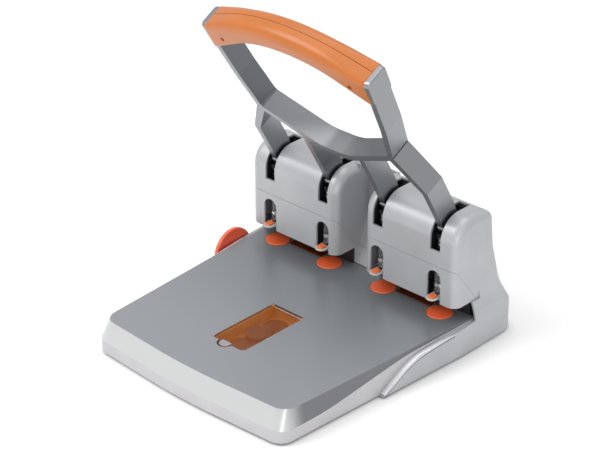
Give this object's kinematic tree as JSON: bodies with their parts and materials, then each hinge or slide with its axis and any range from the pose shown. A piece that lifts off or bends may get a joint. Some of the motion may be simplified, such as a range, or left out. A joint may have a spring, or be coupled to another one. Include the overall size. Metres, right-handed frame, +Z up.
{
  "type": "lever paper punch",
  "caption": "Heavy-duty desk paper punch: a looped lever on cast legs drives hollow punches in hooded heads over a wide paper table with cutting discs, side guide and chip drawer",
  "frame": {"origin": "middle of the footprint, on the desk under the rubber feet", "axes": "X along the row of holes, to the right seen from the front; -Y is the front edge of the paper table; +Z up"},
  "size_m": [0.3221, 0.3599, 0.3749],
  "materials": {
    "silver_plastic": "satin metallic silver",
    "apron_paint": "fine satin grey",
    "band_plastic": "satin light grey",
    "cast_aluminium": "satin, brushed along the band",
    "grip_plastic": "satin orange",
    "disc_plastic": "satin red-orange",
    "guide_plastic": "dark red, glossy",
    "insert_plastic": "bright orange",
    "amber_clear": "clear amber",
    "amber_stop": "deep amber",
    "black_plastic": "matt black",
    "frame_paint": "dark painted steel",
    "sheet_steel": "plain zinc-plated",
    "bright_steel": "ground and polished",
    "bush_bronze": "turned",
    "foot_rubber": "matt"
  },
  "bodies": {
    "base": {"base_screws": "bright_steel", "base_shell": "band_plastic", "bottom_cover": "sheet_steel", "die_plate": "sheet_steel", "disc_well": "black_plastic", "frame_bolts": "bright_steel", "guide_bushes": "bush_bronze", "guide_sleeve": "black_plastic", "head_cover_left": "silver_plastic", "head_cover_right": "silver_plastic", "head_frame_left": "frame_paint", "head_frame_right": "frame_paint", "hinge_shafts": "bright_steel", "lid_hinge_pin": "bright_steel", "nose_panel_left": "silver_plastic", "nose_panel_right": "silver_plastic", "paper_stop_left": "amber_stop", "paper_stop_right": "amber_stop", "rear_housing": "silver_plastic", "rubber_feet": "foot_rubber", "shaft_clips": "bright_steel", "shaft_spacers": "bright_steel", "spare_discs": "disc_plastic", "stripper_plate_left": "sheet_steel", "stripper_plate_right": "sheet_steel", "table_top": "apron_paint", "throat_liners": "black_plastic"},
    "lever": {"lever_casting": "cast_aluminium", "grip_front_shell": "grip_plastic", "grip_rear_shell": "grip_plastic", "grip_screws": "bright_steel"},
    "punch_1": {"punch_pin_1": "bright_steel", "punch_head_1": "bright_steel", "return_spring_1": "bright_steel"},
    "disc_1": {"cutting_disc_1": "disc_plastic"},
    "tab_1": {"release_tab_1": "band_plastic", "tab_insert_1": "insert_plastic"},
    "punch_2": {"punch_pin_2": "bright_steel", "punch_head_2": "bright_steel", "return_spring_2": "bright_steel"},
    "disc_2": {"cutting_disc_2": "disc_plastic"},
    "tab_2": {"release_tab_2": "band_plastic", "tab_insert_2": "insert_plastic"},
    "punch_3": {"punch_pin_3": "bright_steel", "punch_head_3": "bright_steel", "return_spring_3": "bright_steel"},
    "disc_3": {"cutting_disc_3": "disc_plastic"},
    "tab_3": {"release_tab_3": "band_plastic", "tab_insert_3": "insert_plastic"},
    "punch_4": {"punch_pin_4": "bright_steel", "punch_head_4": "bright_steel", "return_spring_4": "bright_steel"},
    "disc_4": {"cutting_disc_4": "disc_plastic"},
    "tab_4": {"release_tab_4": "band_plastic", "tab_insert_4": "insert_plastic"},
    "lid": {"disc_lid": "amber_clear", "lid_lift_tab": "sheet_steel"},
    "side_guide": {"side_guide_disc": "guide_plastic", "side_guide_rod": "bright_steel"},
    "drawer": {"chip_drawer": "silver_plastic"}
  },
  "joints": [
    {"name": "lever_hinge", "type": "hinge", "parent": "base", "child": "lever", "pos_m": [0, 0.108, 0.132], "axis": [1, 0, 0], "range_deg": [0, 56]},
    {"name": "punch_1_slide", "type": "slide", "parent": "base", "child": "punch_1", "axis": [0, 0, -1], "range_m": [0, 0.0188], "stiffness_N_per_m": 600, "springref_m": -0.0325, "deforming": ["return_spring_1"]},
    {"name": "punch_2_slide", "type": "slide", "parent": "base", "child": "punch_2", "axis": [0, 0, -1], "range_m": [0, 0.0188], "stiffness_N_per_m": 600, "springref_m": -0.0325, "deforming": ["return_spring_2"]},
    {"name": "punch_3_slide", "type": "slide", "parent": "base", "child": "punch_3", "axis": [0, 0, -1], "range_m": [0, 0.0188], "stiffness_N_per_m": 600, "springref_m": -0.0325, "deforming": ["return_spring_3"]},
    {"name": "punch_4_slide", "type": "slide", "parent": "base", "child": "punch_4", "axis": [0, 0, -1], "range_m": [0, 0.0188], "stiffness_N_per_m": 600, "springref_m": -0.0325, "deforming": ["return_spring_4"]},
    {"name": "disc_1_turn", "type": "hinge", "parent": "base", "child": "disc_1", "pos_m": [-0.12, 0.09, 0.038], "axis": [0, 0, 1], "continuous": true},
    {"name": "disc_2_turn", "type": "hinge", "parent": "base", "child": "disc_2", "pos_m": [-0.04, 0.09, 0.038], "axis": [0, 0, 1], "continuous": true},
    {"name": "disc_3_turn", "type": "hinge", "parent": "base", "child": "disc_3", "pos_m": [0.04, 0.09, 0.038], "axis": [0, 0, 1], "continuous": true},
    {"name": "disc_4_turn", "type": "hinge", "parent": "base", "child": "disc_4", "pos_m": [0.12, 0.09, 0.038], "axis": [0, 0, 1], "continuous": true},
    {"name": "tab_1_slide", "type": "slide", "parent": "base", "child": "tab_1", "axis": [0, -1, 0], "range_m": [0, 0.006]},
    {"name": "tab_2_slide", "type": "slide", "parent": "base", "child": "tab_2", "axis": [0, -1, 0], "range_m": [0, 0.006]},
    {"name": "tab_3_slide", "type": "slide", "parent": "base", "child": "tab_3", "axis": [0, -1, 0], "range_m": [0, 0.006]},
    {"name": "tab_4_slide", "type": "slide", "parent": "base", "child": "tab_4", "axis": [0, -1, 0], "range_m": [0, 0.006]},
    {"name": "lid_hinge", "type": "hinge", "parent": "base", "child": "lid", "pos_m": [0, -0.0203, 0.036], "axis": [-1, 0, 0], "range_deg": [0, 100]},
    {"name": "side_guide_slide", "type": "slide", "parent": "base", "child": "side_guide", "axis": [-1, 0, 0], "range_m": [0, 0.06]},
    {"name": "drawer_slide", "type": "slide", "parent": "base", "child": "drawer", "axis": [0, 1, 0], "range_m": [0, 0.05]}
  ],
  "couplings": [
    {"joint": "punch_1_slide", "follows": "lever_hinge", "m_per_rad": 0.019213},
    {"joint": "punch_2_slide", "follows": "lever_hinge", "m_per_rad": 0.019213},
    {"joint": "punch_3_slide", "follows": "lever_hinge", "m_per_rad": 0.019213},
    {"joint": "punch_4_slide", "follows": "lever_hinge", "m_per_rad": 0.019213}
  ]
}
